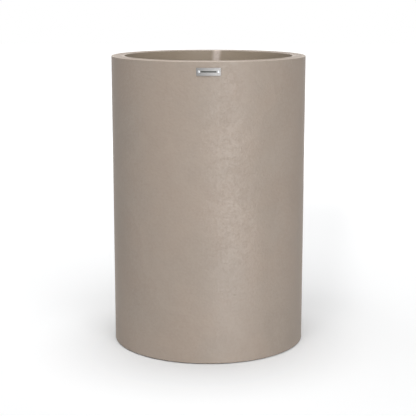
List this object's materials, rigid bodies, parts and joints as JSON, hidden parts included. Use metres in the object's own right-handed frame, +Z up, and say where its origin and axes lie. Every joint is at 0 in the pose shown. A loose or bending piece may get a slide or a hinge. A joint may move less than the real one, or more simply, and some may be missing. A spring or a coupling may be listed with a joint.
{
  "type": "floor planter",
  "caption": "Tall round glass-fibre floor planter with a flat returned rim, raised dished floor, pull-out drain plug, foot pads and a small riveted nameplate.",
  "frame": {"origin": "on the ground under the middle of the planter", "axes": "+Z up along the cylinder's axis, -Y towards the nameplate at the front, +X to the right seen from the front"},
  "size_m": [0.5, 0.5017, 0.75],
  "materials": {
    "stone_finish": "satin, finely mottled like rendered stone",
    "raw_laminate": "painted inside face of the laminate, slightly fibrous",
    "bonding_paste": "matt, tooled by hand",
    "plywood": "sawn edge, sealed",
    "plug_rubber": "moulded, matt",
    "brushed_plate": "brushed along its length, left bare",
    "rivet_aluminium": "plain",
    "pad_rubber": "matt"
  },
  "bodies": {
    "planter": {"shell": "stone_finish", "floor_pan": "raw_laminate", "floor_bond": "bonding_paste", "floor_core": "plywood", "core_bed": "bonding_paste", "core_skin": "raw_laminate", "nameplate": "brushed_plate", "plate_rivets": "rivet_aluminium", "rivet_washers": "rivet_aluminium", "foot_pad_1": "pad_rubber", "foot_pad_2": "pad_rubber", "foot_pad_3": "pad_rubber", "foot_pad_4": "pad_rubber", "foot_pad_5": "pad_rubber", "foot_pad_6": "pad_rubber"},
    "plug": {"drain_plug": "plug_rubber"}
  },
  "joints": [
    {"name": "plug_pull", "type": "slide", "parent": "planter", "child": "plug", "axis": [0, 0, 1], "range_m": [0, 0.04]}
  ]
}
